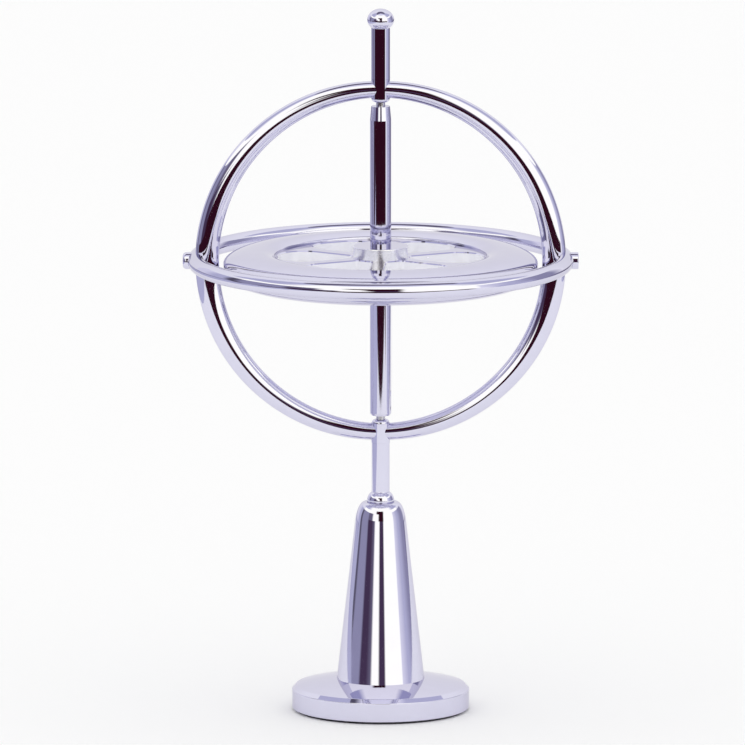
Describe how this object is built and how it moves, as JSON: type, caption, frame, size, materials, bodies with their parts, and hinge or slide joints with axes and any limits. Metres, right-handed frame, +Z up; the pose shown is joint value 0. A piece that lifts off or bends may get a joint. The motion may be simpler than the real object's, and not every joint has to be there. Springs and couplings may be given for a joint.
{
  "type": "gyroscope on stand",
  "caption": "Gyroscope with a spoked rotor on a shaft inside an upright ring and a level guard ring, standing by its ball foot in a cup on a tapered column and round base.",
  "frame": {"origin": "middle of the underside of the base pad, on the axis of the column and the shaft", "axes": "+Z up along the shaft, X through the two ring pins in the plane of the upright ring, +Y away from the viewer of the front"},
  "size_m": [0.0654, 0.0638, 0.1173],
  "materials": {
    "chrome": "mirror polished plating",
    "pad": "matt",
    "screw": "plain zinc plated",
    "pivot": "hardened and ground"
  },
  "bodies": {
    "stand": {"base_disc": "chrome", "base_pad": "pad", "base_screw": "screw", "column": "chrome"},
    "foot": {"lower_post": "chrome"},
    "frame": {"vertical_ring": "chrome", "guard_ring": "chrome", "left_ring_pin": "chrome", "right_ring_pin": "chrome", "upper_post": "chrome", "upper_bearing": "chrome", "lower_bearing": "chrome"},
    "rotor": {"rotor_wheel": "chrome", "shaft": "chrome", "upper_pivot": "pivot", "lower_pivot": "pivot"}
  },
  "joints": [
    {"name": "lean", "type": "hinge", "parent": "stand", "child": "foot", "pos_m": [0, 0, 0.03515], "axis": [0, 1, 0], "range_deg": [-55, 55]},
    {"name": "swivel", "type": "hinge", "parent": "foot", "child": "frame", "pos_m": [0, 0, 0.04], "axis": [0, 0, 1], "continuous": true},
    {"name": "spin", "type": "hinge", "parent": "frame", "child": "rotor", "pos_m": [0, 0, 0.07519], "axis": [0, 0, 1], "continuous": true}
  ]
}
